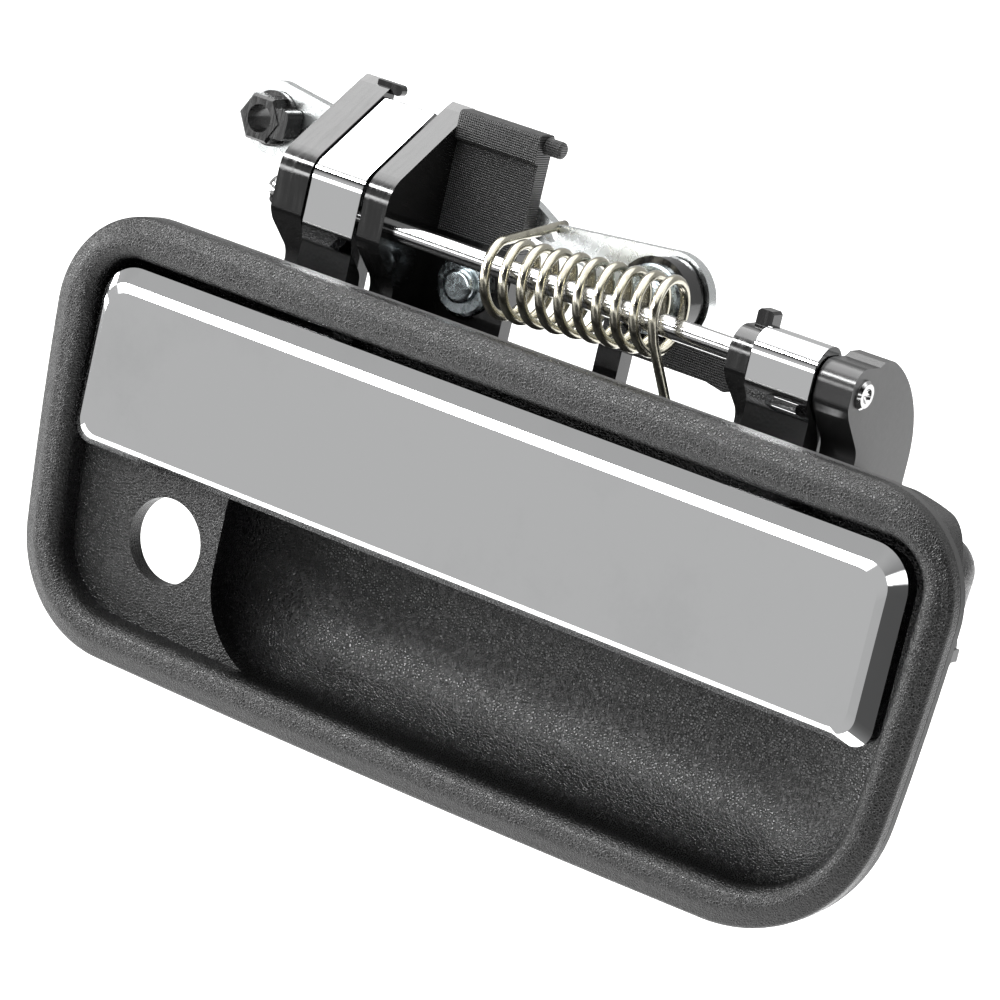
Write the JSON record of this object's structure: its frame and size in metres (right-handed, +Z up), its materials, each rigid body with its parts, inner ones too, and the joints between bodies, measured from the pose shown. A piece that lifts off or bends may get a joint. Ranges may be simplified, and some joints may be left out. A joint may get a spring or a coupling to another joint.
{
  "type": "exterior car door handle",
  "caption": "Pull-up exterior door handle: black grained bezel with finger cup and lock hole, chrome paddle on a cross shaft, coil return spring and rear release lever with rod clip.",
  "frame": {"origin": "centre of the bezel, on the plane of the outer door skin", "axes": "+X along the handle to its right end seen from outside, +Y into the door, +Z up; the handle faces -Y"},
  "size_m": [0.1879, 0.043, 0.112],
  "materials": {
    "grained_black": "moulded, fine leather grain",
    "smooth_black": "smooth moulded, half gloss",
    "seal_rubber": "soft foam rubber",
    "chrome": "bright decorative plating",
    "polished_steel": "ground and polished",
    "zinc_steel": "bright zinc plating",
    "spring_wire": "drawn wire, pale zinc plating",
    "clip_black": "smooth moulded"
  },
  "bodies": {
    "housing": {"bezel": "grained_black", "finger_cup": "grained_black", "lock_plate": "grained_black", "door_gasket": "seal_rubber", "outer_ear": "smooth_black", "inner_ear": "smooth_black", "rear_plate": "smooth_black", "insert_plate": "smooth_black", "insert_boss": "smooth_black", "lever_boss": "smooth_black", "cross_bar": "smooth_black", "bar_post": "smooth_black", "right_ear": "smooth_black", "end_block": "smooth_black", "left_insert": "zinc_steel", "right_insert": "zinc_steel", "lever_rivet": "zinc_steel", "hinge_shaft": "polished_steel", "return_spring": "spring_wire"},
    "handle": {"paddle": "chrome", "horn_arm": "chrome", "barrel_arm": "chrome"},
    "release_lever": {"lever": "zinc_steel"},
    "clip": {"rod_clip": "clip_black"}
  },
  "joints": [
    {"name": "paddle_hinge", "type": "hinge", "parent": "housing", "child": "handle", "pos_m": [0, 0.0145, 0.0491], "axis": [-1, 0, 0], "range_deg": [0, 30], "stiffness_Nm_per_rad": 0.9, "springref_deg": -34.38},
    {"name": "lever_pivot", "type": "hinge", "parent": "housing", "child": "release_lever", "pos_m": [0.0088, 0.03345, 0.0502], "axis": [0, -1, 0], "range_deg": [0, 7.2], "deforming": ["return_spring"]},
    {"name": "clip_swivel", "type": "hinge", "parent": "release_lever", "child": "clip", "pos_m": [-0.081, 0.03345, 0.0578], "axis": [0, 1, 0], "range_deg": [-40, 40]}
  ],
  "couplings": [
    {"joint": "lever_pivot", "follows": "paddle_hinge", "ratio": 0.24}
  ]
}
